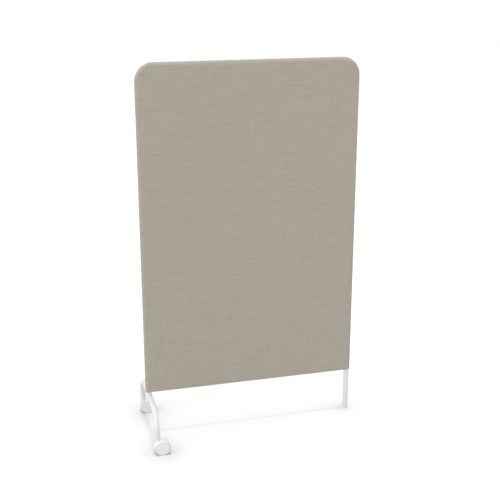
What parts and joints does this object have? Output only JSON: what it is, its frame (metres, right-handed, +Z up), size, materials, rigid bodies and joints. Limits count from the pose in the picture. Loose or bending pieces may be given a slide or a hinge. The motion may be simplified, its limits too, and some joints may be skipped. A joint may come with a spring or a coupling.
{
  "type": "rolling partition",
  "caption": "Fabric-covered room divider panel with rounded top corners, a rolling arch foot at one end and a straight tube leg at the other.",
  "frame": {"origin": "on the floor, under the middle of the screen's bounding box", "axes": "+Z up; +X along the screen's width, from the rolling end to the straight leg; +Y from the front face to the rear face"},
  "size_m": [1, 0.4718, 1.707],
  "materials": {
    "cover_fabric": "matte woven",
    "wadding": "soft fleece",
    "absorber": "felted",
    "board": "raw board",
    "strip": "woven tape",
    "tube_white": "satin powder coat",
    "caster_plastic": "satin moulded",
    "tyre": "matte",
    "steel": "zinc plated"
  },
  "bodies": {
    "screen": {"frame_hoop": "tube_white", "bottom_rail": "tube_white", "fixing_tabs": "tube_white", "core_board": "board", "board_screws": "steel", "front_absorber": "absorber", "rear_absorber": "absorber", "front_wadding": "wadding", "rear_wadding": "wadding", "fabric_cover": "cover_fabric", "closing_strip": "strip", "straight_leg": "tube_white", "leg_joiner": "steel", "leg_glide": "caster_plastic", "arch_foot": "tube_white", "neck_saddle": "tube_white", "frame_spigot": "steel", "crown_bolt": "steel", "crown_washer": "steel", "front_stem_socket": "caster_plastic", "front_stem": "steel", "front_grip_ring": "steel", "rear_stem_socket": "caster_plastic", "rear_stem": "steel", "rear_grip_ring": "steel"},
    "front_caster": {"front_hood": "caster_plastic", "front_axle": "steel"},
    "front_outer_wheel": {"front_outer_rim": "caster_plastic", "front_outer_tyre": "tyre"},
    "front_inner_wheel": {"front_inner_rim": "caster_plastic", "front_inner_tyre": "tyre"},
    "rear_caster": {"rear_hood": "caster_plastic", "rear_axle": "steel"},
    "rear_outer_wheel": {"rear_outer_rim": "caster_plastic", "rear_outer_tyre": "tyre"},
    "rear_inner_wheel": {"rear_inner_rim": "caster_plastic", "rear_inner_tyre": "tyre"}
  },
  "joints": [
    {"name": "front_swivel", "type": "hinge", "parent": "screen", "child": "front_caster", "pos_m": [-0.485, -0.21, 0.06], "axis": [0, 0, 1], "continuous": true},
    {"name": "front_outer_spin", "type": "hinge", "parent": "front_caster", "child": "front_outer_wheel", "pos_m": [-0.464, -0.21, 0.0325], "axis": [0, 1, 0], "continuous": true},
    {"name": "front_inner_spin", "type": "hinge", "parent": "front_caster", "child": "front_inner_wheel", "pos_m": [-0.464, -0.21, 0.0325], "axis": [0, 1, 0], "continuous": true},
    {"name": "rear_swivel", "type": "hinge", "parent": "screen", "child": "rear_caster", "pos_m": [-0.485, 0.21, 0.06], "axis": [0, 0, 1], "continuous": true},
    {"name": "rear_outer_spin", "type": "hinge", "parent": "rear_caster", "child": "rear_outer_wheel", "pos_m": [-0.464, 0.21, 0.0325], "axis": [0, 1, 0], "continuous": true},
    {"name": "rear_inner_spin", "type": "hinge", "parent": "rear_caster", "child": "rear_inner_wheel", "pos_m": [-0.464, 0.21, 0.0325], "axis": [0, 1, 0], "continuous": true}
  ]
}
